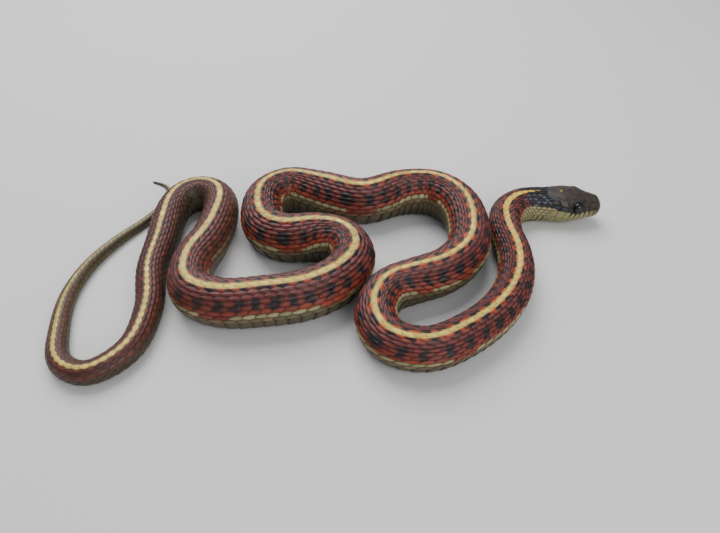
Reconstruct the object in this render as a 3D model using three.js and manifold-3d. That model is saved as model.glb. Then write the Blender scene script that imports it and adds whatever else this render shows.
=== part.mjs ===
// A garter snake at rest on a flat surface, its body laid in loose loops with the head pointing to +X.
// Millimetres, +Z up, the floor at Z = 0, origin under the middle of the whole animal.
// The body is one long soft tube, flattened where its belly lies, parted by thin cuts into named lengths.
import * as THREE from "three";
import { mergeVertices } from "three/addons/utils/BufferGeometryUtils.js";
import Module from "manifold-3d";

const wasm = await Module();
wasm.setup();

// The route's own zero lies in front of the animal. This point of it is the part's origin.
const ORIGIN = [-3.5240, 134.5462];

// Where the middle of the body lies, nape to tail tip: one waypoint for each change of bend.
const ROUTE = [
  // neck, and the front loop
  [66.5, 162.0], [57.8, 160.8], [51.8, 155.3], [49.9, 146.0], [50.3, 134.5], [48.3, 122.5],
  [42.5, 111.5], [32.0, 101.5], [18.5, 95.0], [8.0, 98.0], [4.6, 107.0], [8.5, 116.5],
  // back up and over the long far loop
  [16.5, 120.5], [26.0, 124.5], [33.8, 132.5], [36.6, 144.5], [34.5, 156.5], [26.5, 164.5],
  [15.0, 164.8], [1.0, 159.5], [-14.0, 164.0], [-25.8, 166.2], [-33.0, 160.0],
  // folded back in front of it in the middle
  [-33.4, 149.6], [-30.6, 143.2], [-24.4, 139.8], [-14.0, 140.2], [-5.6, 137.4], [-2.2, 129.8],
  [-5.8, 121.2], [-15.4, 114.4], [-28.0, 111.8], [-41.0, 111.3], [-50.3, 116.0], [-52.8, 127.0],
  // the narrow loop on the left
  [-49.8, 140.0], [-48.8, 150.0], [-49.4, 158.6], [-52.2, 164.4], [-57.9, 167.0], [-63.7, 164.4],
  [-66.3, 158.2], [-66.7, 150.0], [-66.4, 140.0], [-66.4, 127.5], [-63.3, 111.5], [-65.0, 97.0],
  // tail, out to the left and back behind the narrow loop
  [-74.2, 89.3], [-83.0, 93.0], [-88.0, 105.0], [-90.6, 120.0], [-88.8, 134.0], [-83.6, 146.0],
  [-77.2, 156.5], [-73.6, 165.5], [-72.6, 173.0], [-75.5, 179.0], [-82.5, 182.6],
];

// How thick the body is: distance behind the nape, half its width, and height over width.
const GIRTH = [
  [0, 6.4, 0.87], [8, 6.5, 0.87], [14, 6.2, 0.9], [20, 5.6, 0.97], [28, 5.3, 1.04], [44, 5.6, 1.1], [92, 6.0, 1.13],
  [135, 6.6, 1.16], [185, 7.2, 1.18], [275, 7.3, 1.17],
  [335, 7.1, 1.16], [365, 6.8, 1.15], [420, 5.8, 1.12], [448, 5.3, 1.1], [480, 4.2, 1.06],
  [520, 3.2, 1.03], [552, 2.4, 1.0], [590, 1.55, 1.0], [605, 1.15, 1.0], [620, 0.75, 1.0], [634, 0.3, 1.0],
];
const BELLY_FLAT = 0.05; // share of the half height that the resting belly is pressed flat by
const RING_STEP = 4.2; // along the body
const RING_SIDES = 18;
const CUT = 0.3; // the gap between lengths, and round each eye

// Where the lengths are parted, behind the nape.
const LENGTHS = [
  ["neck", 1.3, 22], ["body_01", 22, 47], ["body_02", 47, 77], ["body_03", 77, 99], ["body_04", 99, 117],
  ["body_05", 117, 139], ["body_06", 139, 167], ["body_07", 167, 191], ["body_08", 191, 221],
  ["body_09", 221, 239], ["body_10", 239, 261], ["body_11", 261, 285], ["body_12", 285, 305],
  ["body_13", 305, 325], ["body_14", 325, 355], ["body_15", 355, 377], ["body_16", 377, 401],
  ["body_17", 401, 421], ["body_18", 421, 439], ["body_19", 439, 469], ["tail_01", 469, 503],
  ["tail_02", 503, 519], ["tail_03", 519, 535], ["tail_04", 535, 571], ["tail_05", 571, 599],
  ["tail_tip", 599, 1000],
];

// The head, along its own axis from the nape (0) to the snout (1): half width, crown and throat height.
const HEAD_LENGTH = 19.6;
const HEAD_YAW = THREE.MathUtils.degToRad(-6.5); // turned a little towards the front of the loops
const HEAD_SHAPE = [
  [0, 6.4, 10.9, 0.0], [0.1, 6.7, 11.2, 0.1], [0.25, 6.9, 11.4, 0.4], [0.38, 6.8, 11.4, 0.8],
  [0.5, 6.4, 11.3, 1.1], [0.62, 5.7, 11.0, 1.5], [0.75, 4.9, 10.4, 2.1], [0.87, 4.1, 9.7, 2.7],
  [0.95, 3.2, 8.8, 3.5], [0.985, 1.9, 7.8, 4.4], [1, 0.5, 6.8, 5.3],
];
const HEAD_RINGS = 26;
const HEAD_SIDES = 28;
// The line of the mouth, from its corner behind the eye to the snout: share of the head and height.
const MOUTH_LINE = [[0.06, 5.2], [0.2, 4.4], [0.4, 4.2], [0.6, 4.6], [0.8, 5.0], [0.92, 5.2], [1.06, 5.3]];
const MOUTH_GAP = 0.3;
const SCALE_RISE = 0.22; // how far the plates of crown and lip stand proud
const EYE = { along: 0.54, radius: 1.75, height: 8.3, sunk: 1.2 };
const NOSTRIL = { along: 0.92, radius: 0.42, height: 7.5 };

/** Turns a three.js geometry into a solid that can be joined and cut. */
function solid(geometry) {
  const bare = geometry.index ? geometry.toNonIndexed() : geometry.clone();
  bare.deleteAttribute("normal");
  bare.deleteAttribute("uv");
  const merged = mergeVertices(bare, 1e-4);
  return new wasm.Manifold(
    new wasm.Mesh({
      numProp: 3,
      vertProperties: merged.getAttribute("position").array,
      triVerts: new Uint32Array(merged.index.array),
    }),
  );
}

/** Turns the largest closed surface of a solid back into a three.js geometry. */
function geometryOf(made) {
  const largest = made.decompose().sort((a, b) => b.volume() - a.volume())[0];
  const mesh = largest.getMesh();
  const geometry = new THREE.BufferGeometry();
  geometry.setAttribute("position", new THREE.BufferAttribute(new Float32Array(mesh.vertProperties), 3));
  geometry.setIndex(new THREE.BufferAttribute(new Uint32Array(mesh.triVerts), 1));
  geometry.computeVertexNormals();
  return geometry;
}

/** Reads a table of [place, value, ...] rows at a place, with a smooth step between rows. */
function readTable(table, place, column) {
  const last = table.length - 1;
  if (place <= table[0][0]) return table[0][column];
  if (place >= table[last][0]) return table[last][column];
  const i = table.findIndex((row) => row[0] > place);
  const [low, high] = [table[i - 1], table[i]];
  return THREE.MathUtils.lerp(low[column], high[column], (place - low[0]) / (high[0] - low[0]));
}

/** Joins closed rings of points into one skin with a flat cap at either end, faces out. */
function loft(rings) {
  const sides = rings[0].length;
  const points = rings.flat();
  const faces = [];
  rings.slice(1).forEach((_, r) => {
    for (let k = 0; k < sides; k += 1) {
      const a = r * sides + k;
      const b = r * sides + ((k + 1) % sides);
      faces.push(a, b, b + sides, a, b + sides, a + sides);
    }
  });
  const start = points.push(centreOf(rings[0])) - 1;
  const end = points.push(centreOf(rings.at(-1))) - 1;
  const lastRing = (rings.length - 1) * sides;
  for (let k = 0; k < sides; k += 1) {
    const next = (k + 1) % sides;
    faces.push(start, next, k);
    faces.push(end, lastRing + k, lastRing + next);
  }
  const geometry = new THREE.BufferGeometry().setFromPoints(points);
  geometry.setIndex(faces);
  return geometry;
}

/** The middle of a ring. */
function centreOf(ring) {
  return ring.reduce((sum, p) => sum.add(p), new THREE.Vector3()).divideScalar(ring.length);
}

/** One ring of the body: a rounded upright oval whose underside is pressed flat on the floor. */
function bodyRing(centre, left, halfWidth, halfHeight) {
  const middle = halfHeight * (1 - BELLY_FLAT);
  return Array.from({ length: RING_SIDES }, (_, k) => {
    const turn = ((k + 0.5) / RING_SIDES) * 2 * Math.PI;
    const height = Math.max(middle + halfHeight * Math.cos(turn), 0);
    return centre.clone().addScaledVector(left, -halfWidth * Math.sin(turn)).setZ(height);
  });
}

const spine = new THREE.CatmullRomCurve3(
  ROUTE.map(([x, y]) => new THREE.Vector3(x - ORIGIN[0], y - ORIGIN[1], 0)),
  false,
  "centripetal",
);
spine.arcLengthDivisions = 4000;
const bodyLength = spine.getLength();

/** The body between two distances behind the nape, as one closed skin. */
function bodyLengthOf(from, to) {
  const count = Math.max(2, Math.round((to - from) / RING_STEP));
  const rings = [];
  for (let i = 0; i <= count; i += 1) {
    const along = THREE.MathUtils.lerp(from, to, i / count);
    const centre = spine.getPointAt(along / bodyLength);
    const ahead = spine.getTangentAt(along / bodyLength);
    const left = new THREE.Vector3(-ahead.y, ahead.x, 0).normalize();
    const halfWidth = readTable(GIRTH, along, 1);
    rings.push(bodyRing(centre, left, halfWidth, halfWidth * readTable(GIRTH, along, 2)));
  }
  return loft(rings);
}

const nape = spine.getPointAt(0);

/** Turns a shape made round the origin, or a point, with the head, and moves it to the nape. */
function toNape(made) {
  return made.applyMatrix4(new THREE.Matrix4().makeRotationZ(HEAD_YAW).setPosition(nape));
}

/** A point of the head, by its share of the head's length, offset to the snake's left, and height. */
function headPoint(share, side, height) {
  return toNape(new THREE.Vector3(share * HEAD_LENGTH, side, height));
}

/** One ring of the head: broad and flat on the crown, steep on the cheek, narrower under the jaw. */
function headRing(share, swell) {
  const [halfWidth, crown, throat] = [1, 2, 3].map((c) => readTable(HEAD_SHAPE, share, c));
  const cheek = THREE.MathUtils.lerp(throat, crown, 0.42);
  return Array.from({ length: HEAD_SIDES }, (_, k) => {
    const turn = ((k + 0.5) / HEAD_SIDES) * 2 * Math.PI;
    const squareness = Math.cos(turn) > 0 ? 0.78 : 0.8;
    const side = Math.sign(Math.sin(turn)) * Math.abs(Math.sin(turn)) ** squareness;
    const rise = Math.sign(Math.cos(turn)) * Math.abs(Math.cos(turn)) ** squareness;
    const reach = rise > 0 ? crown - cheek : cheek - throat;
    const height = cheek + rise * (reach + swell);
    return headPoint(share, -side * (halfWidth + swell), Math.max(height, 0));
  });
}

/** The whole head as one closed skin, swollen by a little where plates are cut from it. */
function headSkin(swell) {
  const rings = Array.from({ length: HEAD_RINGS + 1 }, (_, i) => {
    const share = Math.sin((i / HEAD_RINGS) * (Math.PI / 2)) ** 0.9;
    return headRing(share, swell);
  });
  return solid(loft(rings));
}

/** A straight prism over an outline in the floor plan, as the cutter for a plate of the crown. */
function crownCutter(outline) {
  const shape = new THREE.Shape(outline.map(([share, side]) => new THREE.Vector2(share * HEAD_LENGTH, side)));
  const prism = new THREE.ExtrudeGeometry(shape, { depth: 12, bevelEnabled: false });
  return solid(toNape(prism.translate(0, 0, 8)));
}

/** A straight prism across the head over an outline seen from its side. */
function sideCutter(outline, from, to) {
  const shape = new THREE.Shape(outline.map(([share, height]) => new THREE.Vector2(share * HEAD_LENGTH, height)));
  const prism = new THREE.ExtrudeGeometry(shape, { depth: to - from, bevelEnabled: false });
  prism.rotateX(Math.PI / 2); // the outline's height turns up, and the depth runs to -Y
  return solid(toNape(prism.translate(0, to, 0)));
}

/** The outline of the lower jaw from the side, its upper edge on the mouth line. */
function jawOutline(drop) {
  const top = MOUTH_LINE.map(([share, height]) => [share, height - drop]);
  return [[top[0][0], -2], ...top, [1.06, -2]].reverse();
}

// The large plates of the crown, back to front, on the snake's left. Those on the middle line mirror in themselves.
const CROWN_PLATES = [
  [[0.06, 0.16], [0.1, 2.4], [0.28, 4.2], [0.42, 3.6], [0.46, 1.5], [0.38, 0.16]], // parietal
  [[0.47, 3.6], [0.46, 1.7], [0.66, 1.35], [0.68, 2.6], [0.64, 4.0]], // supraocular
  [[0.71, 0.14], [0.71, 1.3], [0.72, 2.6], [0.82, 2.3], [0.82, 0.14]], // prefrontal
  [[0.84, 0.14], [0.84, 2.0], [0.92, 1.4], [0.93, 0.14]], // internasal
];
const FRONTAL = [[0.4, 0], [0.46, 1.4], [0.68, 1.05], [0.68, -1.05], [0.46, -1.4]];

/** All plates of the crown, cut from a slightly larger head. */
function crownPlates(swollen) {
  const mirrored = CROWN_PLATES.map((outline) => outline.map(([share, side]) => [share, -side]).reverse());
  return [...CROWN_PLATES.map((o) => [...o].reverse()), ...mirrored.map((o) => [...o].reverse()), FRONTAL]
    .map((outline) => crownCutter(outline).intersect(swollen));
}

/** The row of upper lip plates, on both sides at once, each standing on the mouth line. */
function lipPlates(swollen) {
  const count = 7;
  const [back, front] = [0.1, 0.93];
  const pitch = (front - back) / count;
  return Array.from({ length: count }, (_, i) => {
    const low = back + i * pitch + 0.006;
    const high = back + (i + 1) * pitch - 0.006;
    const top = (share) => readTable(MOUTH_LINE, share, 1) + THREE.MathUtils.lerp(2.5, 1.5, i / count);
    const foot = (share) => readTable(MOUTH_LINE, share, 1) - 0.6;
    return sideCutter([[low, foot(low)], [high, foot(high)], [high, top(high)], [low, top(low)]], -9, 9)
      .intersect(swollen);
  });
}

/** The middle of an eye or nostril on one side of the head. */
function sidePlace({ along, height }, sunk, side) {
  return headPoint(along, side * (readTable(HEAD_SHAPE, along, 1) - sunk), height);
}

/** A ball at a place. */
function ball(place, radius, sides) {
  return new THREE.SphereGeometry(radius, sides, Math.round(sides * 0.6)).translate(place.x, place.y, place.z);
}

/** The head above the mouth line, and the lower jaw below it. */
function headAndJaw() {
  const swollen = headSkin(SCALE_RISE);
  let whole = wasm.Manifold.union([headSkin(0), ...crownPlates(swollen), ...lipPlates(swollen)]);
  for (const side of [-1, 1]) {
    whole = whole.subtract(solid(ball(sidePlace(EYE, EYE.sunk, side), EYE.radius + CUT, 20)));
    whole = whole.subtract(solid(ball(sidePlace(NOSTRIL, 0.05, side), NOSTRIL.radius, 8)));
  }
  const jaw = whole.intersect(sideCutter(jawOutline(MOUTH_GAP), -12, 12));
  const upper = whole.subtract(sideCutter(jawOutline(0).map(([s, h], i, all) =>
    [s === all.at(-1)[0] ? s - MOUTH_GAP / HEAD_LENGTH : s, h]), -12, 12));
  return { upper, jaw };
}

/** A named mesh in its own finish. */
function piece(name, geometry, colour, roughness) {
  const mesh = new THREE.Mesh(geometry, new THREE.MeshStandardMaterial({ color: colour, roughness, metalness: 0 }));
  mesh.name = name;
  return mesh;
}

const snake = new THREE.Group();

const { upper, jaw } = headAndJaw();
snake.add(piece("head", geometryOf(upper), 0x3b3327, 0.4));
snake.add(piece("lower_jaw", geometryOf(jaw), 0xb9b58a, 0.45));
for (const [name, side] of [["eye_left", 1], ["eye_right", -1]]) {
  snake.add(piece(name, ball(sidePlace(EYE, EYE.sunk, side), EYE.radius, 16), 0x120d09, 0.1));
}
for (const [name, from, to] of LENGTHS) {
  const start = from + CUT / 2;
  const end = Math.min(to - CUT / 2, bodyLength);
  const colour = name.startsWith("tail") ? 0x4a4430 : 0x6e2418;
  snake.add(piece(name, bodyLengthOf(start, end), colour, 0.45));
}

export default snake;
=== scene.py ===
"""A garter snake lying in loose loops: skin, keeled scales, belly plates, head plates and eyes."""

import logging
import math
from collections.abc import Callable
from dataclasses import dataclass, field
from enum import Enum

import bmesh
import bpy
import numpy as np
from mathutils import Matrix, Vector


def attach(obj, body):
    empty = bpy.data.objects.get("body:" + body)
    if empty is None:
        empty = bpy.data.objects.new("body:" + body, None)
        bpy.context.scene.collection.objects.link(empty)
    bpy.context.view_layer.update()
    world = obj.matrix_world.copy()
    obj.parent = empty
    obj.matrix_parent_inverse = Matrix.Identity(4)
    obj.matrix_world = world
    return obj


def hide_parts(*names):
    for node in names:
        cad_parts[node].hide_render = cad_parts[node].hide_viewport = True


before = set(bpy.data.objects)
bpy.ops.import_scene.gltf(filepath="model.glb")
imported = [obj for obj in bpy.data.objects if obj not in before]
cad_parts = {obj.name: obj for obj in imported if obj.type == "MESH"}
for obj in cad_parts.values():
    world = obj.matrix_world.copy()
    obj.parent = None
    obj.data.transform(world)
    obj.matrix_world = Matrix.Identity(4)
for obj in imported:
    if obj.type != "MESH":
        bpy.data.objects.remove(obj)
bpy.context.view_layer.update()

MM = 0.001
LOG = logging.getLogger("garter_snake")

# All lengths below are in millimetres, as in the solids, unless a name says otherwise.
ORIGIN = (-3.5240, 134.5462)
ROUTE = (
    # neck, and the front loop
    (66.5, 162.0), (57.8, 160.8), (51.8, 155.3), (49.9, 146.0), (50.3, 134.5), (48.3, 122.5),
    (42.5, 111.5), (32.0, 101.5), (18.5, 95.0), (8.0, 98.0), (4.6, 107.0), (8.5, 116.5),
    # back up and over the long far loop
    (16.5, 120.5), (26.0, 124.5), (33.8, 132.5), (36.6, 144.5), (34.5, 156.5), (26.5, 164.5),
    (15.0, 164.8), (1.0, 159.5), (-14.0, 164.0), (-25.8, 166.2), (-33.0, 160.0),
    # folded back in front of it in the middle
    (-33.4, 149.6), (-30.6, 143.2), (-24.4, 139.8), (-14.0, 140.2), (-5.6, 137.4), (-2.2, 129.8),
    (-5.8, 121.2), (-15.4, 114.4), (-28.0, 111.8), (-41.0, 111.3), (-50.3, 116.0), (-52.8, 127.0),
    # the narrow loop on the left
    (-49.8, 140.0), (-48.8, 150.0), (-49.4, 158.6), (-52.2, 164.4), (-57.9, 167.0), (-63.7, 164.4),
    (-66.3, 158.2), (-66.7, 150.0), (-66.4, 140.0), (-66.4, 127.5), (-63.3, 111.5), (-65.0, 97.0),
    # tail, out to the left and back behind the narrow loop
    (-74.2, 89.3), (-83.0, 93.0), (-88.0, 105.0), (-90.6, 120.0), (-88.8, 134.0), (-83.6, 146.0),
    (-77.2, 156.5), (-73.6, 165.5), (-72.6, 173.0), (-75.5, 179.0), (-82.5, 182.6),
)
HEAD_LENGTH = 19.6
HEAD_YAW = math.radians(-6.5)
VENT = 470.0  # behind the nape, where the tail begins
DARKEST, PALEST = 0.002, 0.95  # the limits that the linear colour of a scale is kept to


def srgb(red: float, green: float, blue: float) -> np.ndarray:
    """Turns a colour as a painter names it, 0 to 255, into the linear values that light works in.

    Args:
        red: Share of red, 0 to 255.
        green: Share of green, 0 to 255.
        blue: Share of blue, 0 to 255.

    Returns:
        The three linear values.
    """
    share = np.array([red, green, blue]) / 255.0
    return np.where(share <= 0.04045, share / 12.92, ((share + 0.055) / 1.055) ** 2.4)


def mix(low: np.ndarray, high: np.ndarray, share: np.ndarray) -> np.ndarray:
    """Blends two colours, or two rows of colours, by a share for each row."""
    return low + (high - low) * np.clip(share, 0.0, 1.0)[..., None]


def ramp(value: np.ndarray, start: float, end: float) -> np.ndarray:
    """A soft step from 0 at start to 1 at end."""
    share = np.clip((value - start) / (end - start), 0.0, 1.0)
    return share * share * (3.0 - 2.0 * share)


def band(value: np.ndarray, rises: tuple, falls: tuple) -> np.ndarray:
    """Up from 0 to 1 over the first span, and down to 0 again over the second."""
    return ramp(value, *rises) * (1.0 - ramp(value, *falls))


def bump_at(value: np.ndarray, place: float, width: float, power: int = 2) -> np.ndarray:
    """A bell of height 1 round a place, with a flatter top for a higher power."""
    return np.exp(-(((value - place) / width) ** power))


def column(table: tuple, place: np.ndarray, which: int) -> np.ndarray:
    """Reads one column of a table of rows, each row led by its place."""
    rows = np.array(table, dtype=float)
    return np.interp(place, rows[:, 0], rows[:, which])


class Tint(Enum):
    """The colours of the living snake."""

    STRIPE = (204, 178, 88)
    STRIPE_FRONT = (210, 178, 74)
    BRICK = (90, 34, 26)
    MAROON = (78, 33, 31)
    ORANGE = (140, 54, 26)
    FRINGE = (182, 80, 36)
    SOOT = (20, 16, 18)
    PALE_OLIVE = (136, 130, 92)
    BELLY = (80, 72, 50)
    BELLY_DARK = (46, 43, 31)
    HIND_OLIVE = (44, 38, 28)
    TAIL_OLIVE = (72, 66, 38)
    TAIL_BROWN = (66, 32, 20)
    CROWN = (47, 38, 27)
    CROWN_REAR = (50, 41, 34)
    SNOUT = (45, 39, 19)
    LIP = (132, 125, 84)
    CHIN = (128, 122, 84)
    TEMPLE = (92, 86, 72)
    FLECK = (104, 112, 128)

    @property
    def rgb(self) -> np.ndarray:
        """The tint in linear values."""
        return srgb(*self.value)


@dataclass(frozen=True)
class Wash:
    """A layer of colour: its tint, how far it covers, and how much of that it loses on the hind body."""

    tint: Tint
    cover: float
    hind_loss: float = 0.0

    def over(self, colour: np.ndarray, where: np.ndarray, hind: np.ndarray | float = 0.0) -> np.ndarray:
        """Lays the wash over a colour, as strongly as a share says.

        Args:
            colour: What is under the wash.
            where: 1 where the wash lies in full, 0 where there is none.
            hind: 1 on the hind body, 0 on the front.

        Returns:
            Linear colours.
        """
        return mix(colour, self.tint.rgb, self.cover * where * (1.0 - self.hind_loss * hind))


@dataclass
class Course:
    """The line that the middle of the body follows, and the body's section along it."""

    waypoints: tuple = ROUTE
    lead: float = 8.0  # how far the line also runs forward into the head
    step: float = 0.5
    span_steps: int = 40  # steps from one waypoint to the next, before they are evened out
    knot_power: float = 0.5  # of the distance between waypoints, which keeps close ones from overshooting
    ease: float = 9.0  # length of the window that evens out the bends
    lean_ease: float = 30.0  # length of the window that evens out how the markings lean in a bend
    belly_flat: float = 0.05
    skin_room: float = 0.12  # kept free over the floor, for plates that stand out downwards
    back_roll: float = 1.7  # turn of the markings out of a bend, in radians times its radius
    inside_roll: float = 3.0  # how much more they turn on the inside of a bend, where the belly shows
    inside_span: tuple = (0.2, 0.8)  # sine of the angle round the body over which that turn sets in
    belly_span: tuple = (0.3, 1.2)  # angle from the belly's middle over which it sets in
    bend_room: float = 0.92  # the share of a bend's radius that the inside of the body may fill
    free_room: float = 0.72  # the share of that room which it fills before it is pressed together
    least_crowding: float = 0.3
    thick_half: float = 7.2  # half the width where the scales have their full relief
    relief_power: float = 0.8
    # distance behind the nape, half width, height over width, how far the middle is raised
    girth: tuple = (
        (-8, 6.8, 0.775, 1.13), (-5, 6.9, 0.797, 0.67), (-2, 6.7, 0.828, 0.38), (0, 6.4, 0.87, 0),
        (8, 6.5, 0.87, 0), (14, 6.2, 0.9, 0), (20, 5.6, 0.97, 0), (28, 5.3, 1.04, 0), (44, 5.6, 1.1, 0),
        (92, 6.0, 1.13, 0), (135, 6.6, 1.16, 0), (185, 7.2, 1.18, 0), (275, 7.3, 1.17, 0),
        (335, 7.1, 1.16, 0), (365, 6.8, 1.15, 0), (420, 5.8, 1.12, 0), (448, 5.3, 1.1, 0),
        (480, 4.2, 1.06, 0), (520, 3.2, 1.03, 0), (552, 2.4, 1.0, 0), (590, 1.5, 1.0, 0),
        (603, 1.0, 1.0, 0), (613, 0.65, 1.0, 0), (620, 0.35, 1.0, 0),
    )

    def __post_init__(self) -> None:
        """Works out the even line, its headings and its bends."""
        points = np.array(self.waypoints) - np.array(ORIGIN)
        self.nape = points[0]
        ahead = np.array([math.cos(HEAD_YAW), math.sin(HEAD_YAW)])
        into_head = self.nape + ahead * np.arange(self.lead, 0.0, -self.step)[:, None]
        line = np.vstack([into_head, self._through(points)])
        along = np.r_[0.0, np.cumsum(np.linalg.norm(np.diff(line, axis=0), axis=1))]
        self.length = along[-1] - self.lead
        places = np.arange(0.0, along[-1], self.step)
        even = np.column_stack([np.interp(places, along, line[:, axis]) for axis in (0, 1)])
        self.places = places - self.lead
        self.line = self._eased(even)
        heading = np.gradient(self.line, axis=0)
        self.heading = heading / np.linalg.norm(heading, axis=1)[:, None]
        angle = np.unwrap(np.arctan2(self.heading[:, 1], self.heading[:, 0]))
        self.bend = np.gradient(angle) / self.step
        self.lean = np.convolve(self.bend, self._window(self.lean_ease), mode="same")

    def _window(self, length: float) -> np.ndarray:
        """The weights of an even window of a length along the line."""
        window = np.hanning(int(length / self.step) + 2)
        return window / window.sum()

    def _through(self, points: np.ndarray) -> np.ndarray:
        """A smooth line through the waypoints, with no overshoot where they lie close.

        Args:
            points: The waypoints.

        Returns:
            Many points of the line.
        """
        ends = np.vstack([2 * points[0] - points[1], points, 2 * points[-1] - points[-2]])
        share = np.linspace(0.0, 1.0, self.span_steps, endpoint=False)[:, None]
        spans = []
        for before, here, there, after in zip(ends, ends[1:], ends[2:], ends[3:]):
            pairs = ((before, here), (here, there), (there, after))
            gaps = [np.linalg.norm(far - near) ** self.knot_power for near, far in pairs]
            straight = (there - here) / gaps[1]
            leave = (here - before) / gaps[0] - (there - before) / (gaps[0] + gaps[1]) + straight
            arrive = straight - (after - here) / (gaps[1] + gaps[2]) + (after - there) / gaps[2]
            leave, arrive = leave * gaps[1], arrive * gaps[1]
            square = (3 * (there - here) - 2 * leave - arrive) * share**2
            spans.append(here + leave * share + square + (2 * (here - there) + leave + arrive) * share**3)
        return np.vstack([*spans, points[-1:]])

    def _eased(self, line: np.ndarray) -> np.ndarray:
        """The line with its bends evened out and its ends kept in place.

        Args:
            line: Evenly spaced points.

        Returns:
            As many points.
        """
        window = self._window(self.ease)
        margin = len(window) // 2
        ahead = 2 * line[0] - line[margin:0:-1]
        beyond = 2 * line[-1] - line[-2 : -margin - 2 : -1]
        padded = np.vstack([ahead, line, beyond])
        eased = [np.convolve(padded[:, axis], window, mode="same") for axis in (0, 1)]
        return np.column_stack(eased)[margin : margin + len(line)]

    def half_width(self, along: np.ndarray) -> np.ndarray:
        """Half the body's width at distances behind the nape."""
        return column(self.girth, along, 1)

    def relief(self, along: np.ndarray) -> np.ndarray:
        """How high scales stand at a place, 1 where the body is thick."""
        return (self.half_width(along) / self.thick_half) ** self.relief_power

    def _rolled(self, along: np.ndarray, turn: np.ndarray) -> np.ndarray:
        """The angle round the body once the back leans out of a bend and takes the markings along.

        Args:
            along: Distances behind the nape.
            turn: Angles round an upright body.

        Returns:
            Angles round the leaning body.
        """
        lean = np.interp(along, self.places, self.lean)
        inside = ramp(np.sin(turn) * np.sign(lean), *self.inside_span)
        inside = inside * ramp(math.pi - np.abs(turn), *self.belly_span)
        return turn - lean * (self.back_roll * (1.0 + np.cos(turn)) / 2.0 + self.inside_roll * inside)

    def place(self, along: np.ndarray, turn: np.ndarray, lift: np.ndarray) -> np.ndarray:
        """Points on or near the body's surface.

        Args:
            along: Distances behind the nape.
            turn: Angles round the body, 0 on the back and growing to the snake's left.
            lift: Heights over the surface of the solid.

        Returns:
            Points in millimetres, the last axis holding x, y and z.
        """
        centre = [np.interp(along, self.places, self.line[:, axis]) for axis in (0, 1)]
        ahead = [np.interp(along, self.places, self.heading[:, axis]) for axis in (0, 1)]
        bend = np.interp(along, self.places, self.bend)
        half_width = self.half_width(along)
        half_height = half_width * column(self.girth, along, 2)
        rolled = self._rolled(along, turn)
        side = (half_width + lift) * np.sin(rolled)
        # Inside a tight bend the flesh is pressed together, so that it stays clear of the bend's middle.
        room = self.bend_room / np.maximum(np.abs(bend), 1e-4)
        pressed_room = 1.0 - self.free_room
        over = np.maximum(np.abs(side) / room - self.free_room, 0.0)
        tucked = np.sign(side) * room * (self.free_room + pressed_room * np.tanh(over / pressed_room))
        side = np.where((side * bend > 0) & (over > 0), tucked, side)
        middle = half_height * (1.0 - self.belly_flat) + column(self.girth, along, 3)
        height = middle + (half_height + lift) * np.cos(rolled)
        height = np.maximum(height, self.skin_room - lift)
        return np.stack([centre[0] - ahead[1] * side, centre[1] + ahead[0] * side, height], axis=-1)

    def crowding(self, along: np.ndarray, turn: np.ndarray) -> np.ndarray:
        """How far scales are pushed together on the inside of a bend: 1 where they lie free."""
        bend = np.interp(along, self.places, self.bend)
        return np.clip(1.0 - bend * self.half_width(along) * np.sin(turn), self.least_crowding, 1.0)


@dataclass
class ScaleRows:
    """How the scales are set out: their pitch along the body and the number of their rows round it."""

    course: Course
    fine_step: float = 0.25
    # distance behind the nape, and the pitch, the number of rows and the belly's edge in degrees there
    pitch_table: tuple = ((-8, 2.0), (0, 2.3), (40, 2.8), (120, 3.25), (330, 3.35), (440, 3.0), (480, 2.5),
                          (560, 2.1), (610, 1.5), (640, 1.2))
    count_table: tuple = ((-8, 19), (290, 19), (330, 17), (455, 17), (475, 13), (520, 10), (560, 8),
                          (600, 6), (625, 5), (640, 5))
    edge_table: tuple = ((-8, 100), (30, 98), (440, 97), (480, 104), (560, 116), (640, 124))

    def __post_init__(self) -> None:
        """Works out how many scales lie before each place on the body."""
        self.places = np.arange(-self.course.lead, self.course.length, self.fine_step)
        self.steps = np.cumsum(self.fine_step / column(self.pitch_table, self.places, 1))

    def pitch(self, along: np.ndarray) -> np.ndarray:
        """Distance from one scale of a row to the next."""
        return column(self.pitch_table, along, 1)

    def step_at(self, along: np.ndarray) -> np.ndarray:
        """Number of scales from the front to a place."""
        return np.interp(along, self.places, self.steps)

    def along_at(self, step: np.ndarray) -> np.ndarray:
        """The place of a scale from its number."""
        return np.interp(step, self.steps, self.places)

    def belly_edge(self, along: np.ndarray) -> np.ndarray:
        """The angle from the back to where the belly plates begin."""
        return np.radians(column(self.edge_table, along, 1))

    def row_turn(self, along: np.ndarray) -> np.ndarray:
        """The angle from one row to the next."""
        return 2.0 * self.belly_edge(along) / column(self.count_table, along, 1)


@dataclass
class FlankPlaces:
    """Points of the back and sides, as the markings see them."""

    step: np.ndarray  # number of scales from the front
    along: np.ndarray  # distance behind the nape
    share: np.ndarray  # 0 on the middle of the back, 1 where the belly plates begin
    side: np.ndarray  # positive on the snake's left
    stray: np.ndarray | float = 0.0  # how far a scale's own markings stray from the even beat of the spots


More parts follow.
